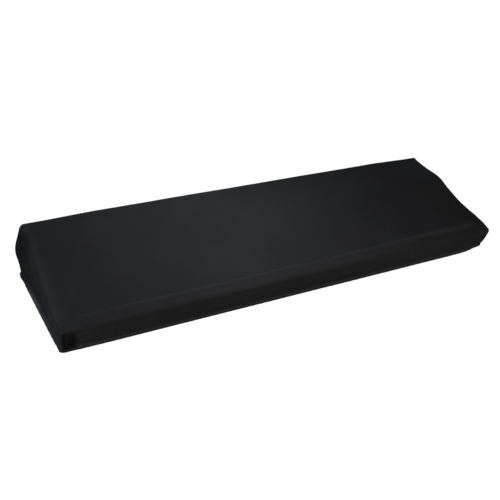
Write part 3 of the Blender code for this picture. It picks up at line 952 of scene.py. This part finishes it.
def knitCloth(name, colour):
    paint = Paint(name)
    u, v, _ = paint.split(paint.add("ShaderNodeUVMap", {"uv_map": "cloth"}))
    wales = (u * (2 * math.pi / knit["wale"])).sine()
    courses = (v * (2 * math.pi / knit["course"]) + wales * 0.9).sine()
    loops = wales * 0.3 + courses * 0.35 + 0.5
    cloudy, mottled, fuzz = (paint.grain(*grain) for grain in knit["grains"])
    tone = cloudy.level(0.30, 0.70) * 0.55 + mottled.level(0.25, 0.75) * 0.30 + loops * 0.15
    low, high = opaque(colour, 1 - knit["shade"]), opaque(colour, 1 + knit["shade"])
    paintedAmount = paint.add("ShaderNodeAttribute", {"attribute_name": "paintedLight"}, None, 2)
    paintedHighlight, deep = opaque(colour, 1 + knit["paintedLight"]), opaque(colour, knit["deep"])
    even, mottling = knit["paintedLightShare"]
    # painted shade towards the third colour where the attribute is below 0, painted highlight towards the
    # lighter colour where above 0
    toneWithShade = paint.mix(paintedAmount * -1.0, paint.mix(tone, low, high), deep)
    base = paint.mix(paintedAmount * (even + mottled * mottling), toneWithShade, paintedHighlight)
    height = loops + fuzz * (knit["fuzzDepth"] / knit["depth"])
    return paint.finish({
        "Base Color": base,
        "Roughness": mottled * knit["roughnessChange"] + (knit["roughness"] - knit["roughnessChange"] / 2),
        "Specular IOR Level": knit["specular"],
        "Sheen Weight": knit["sheen"],
        "Sheen Roughness": 0.5,
        "Normal": paint.bump(height, knit["depth"], 0.6),
    })


def thread(name, colour):
    paint = Paint(name)
    strands = paint.grain(2200.0, 2.0)
    return paint.finish({
        "Base Color": paint.mix(strands, opaque(colour, 0.8), opaque(colour, 1.2)),
        "Roughness": strands * 0.15 + 0.5,
        "Specular IOR Level": 0.35,
        "Normal": paint.bump(strands, 0.00005, 0.4),
    })


for panel, sheet in enumerate(sheets):
    sheet.data.materials.append(knitCloth(panelNames[panel] + "_knit", panelColours[panel]))
    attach(sheet, "root")
    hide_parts(panelNames[panel])
stitches.data.materials.append(thread("hem_thread", (0.017, 0.017, 0.018)))
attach(stitches, "root")

# What each panel was cut to, in metres.
endCut = {"flat": (0.398, 0.182), "area": 0.0476}
cuts = [{"flat": (1.395, 0.118), "area": None}, {"flat": (1.395, 0.530), "area": None}, endCut, endCut]
for panel, (sheet, cut) in enumerate(zip(sheets, cuts)):
    parts = [stitches] if panel == frontBand else []

studio = {
    "stageColour": 0.03,
    "stageGlow": 1.03,
    "reach": 30.0,  # of the floor each way
    "wallReach": 0.99,  # of that
    "floorGap": 0.0002,
    "world": 0.04,
    "lookAt": (0.6092, 0.1859, 0.0495),  # in the hood's sizes
    "bearing": (-31.2704, 30.212, 4.9029),  # turn, rise and roll in degrees
    "distance": 2.1657,
    "lens": 54.36,
    "shift": (-0.001, 0.001),
}

# The softboxes: place, what each points at, width and height, watts, how wide it throws in degrees, colour.
softboxes = {
    "key": ((-0.16, -0.19, 1.00), (-0.16, -0.14, 0.0), (0.42, 0.36), 2.02, 70, (0.956, 0.979, 1.066)),
    "front": ((0.42, -2.60, 0.52), (0.05, -0.30, -0.10), (2.4, 0.9), 29.4, 150, (0.995, 0.998, 1.007)),
    "left": ((-1.02, -0.32, 0.04), (-0.68, -0.16, -0.08), (0.35, 0.25), 1.025, 150, (0.935, 0.978, 1.087)),
    "right": ((1.25, 0.40, 0.80), (0.55, 0.0, -0.02), (0.5, 0.5), 1.03, 150, (0.93, 0.96, 1.12)),
    "back": ((0.40, 2.60, 0.80), (0.0, 0.10, -0.05), (2.4, 0.9), 18.5, 150, (0.93, 0.985, 1.085)),
}


def makeCamera():
    data = bpy.data.cameras.new("camera")
    data.lens, data.sensor_width = studio["lens"], 36.0
    data.shift_x, data.shift_y = studio["shift"]
    data.clip_start, data.clip_end = 0.05, 100.0
    camera = placed("camera", data)
    turn, rise, roll = (math.radians(angle) for angle in studio["bearing"])
    target = Vector(studio["lookAt"]) - Vector(hood["bearing"])
    back = Vector((math.sin(turn) * math.cos(rise), -math.cos(turn) * math.cos(rise), math.sin(rise)))
    eye = target + back * studio["distance"]
    right = (-back).cross(Vector((0, 0, 1))).normalized()
    up = right.cross(-back)
    rolled = right * math.cos(roll) + up * math.sin(roll)
    upright = up * math.cos(roll) - right * math.sin(roll)
    turned = Matrix((rolled, upright, back)).transposed().to_4x4()
    camera.matrix_world = Matrix.Translation(eye) @ turned
    bpy.context.scene.camera = camera


def makeSoftbox(name, place, target, size, power, spread, colour):
    data = bpy.data.lights.new(name, "AREA")
    data.shape = "RECTANGLE"
    data.size, data.size_y = size
    data.energy, data.spread, data.color = power, math.radians(spread), colour
    light = placed(name, data)
    light.location = place
    light.rotation_euler = (Vector(target) - Vector(place)).to_track_quat("-Z", "Y").to_euler()


def makeStage():
    paint = Paint("studio_white")
    white = paint.finish({
        "Base Color": (studio["stageColour"],) * 3 + (1.0,),
        "Roughness": 0.9,
        "Specular IOR Level": 0.0,
        "Emission Color": (1.0, 1.0, 1.0, 1.0),
        "Emission Strength": studio["stageGlow"],
    })
    bottom, reach = -hood["bearing"][2] - studio["floorGap"], studio["reach"]
    wall = {"radius": studio["wallReach"] * reach, "depth": 2 * reach, "end_fill_type": "NOTHING"}
    for name in ("floor", "backdrop"):
        if name == "floor":
            bpy.ops.mesh.primitive_plane_add(size=2 * reach, location=(0, 0, bottom))
        else:
            bpy.ops.mesh.primitive_cylinder_add(vertices=64, location=(0, 0, bottom + wall["radius"]), **wall)
        piece = bpy.context.object
        piece.name = name
        bpy.ops.object.transform_apply()
        piece.data.materials.append(white)
        piece.visible_diffuse = piece.visible_glossy = False  # it throws no light on the black cloth
        piece.visible_shadow = name == "floor"


makeCamera()
makeStage()
for name, box in softboxes.items():
    makeSoftbox(name, *box)
world = bpy.data.worlds.new("studio")
world.use_nodes = True
background = world.node_tree.nodes["Background"].inputs
background["Color"].default_value = (1, 1, 1, 1)
background["Strength"].default_value = studio["world"]
bpy.context.scene.world = world
bpy.context.scene.view_settings.view_transform = "Standard"
print("stage 6: camera, floor and lights")
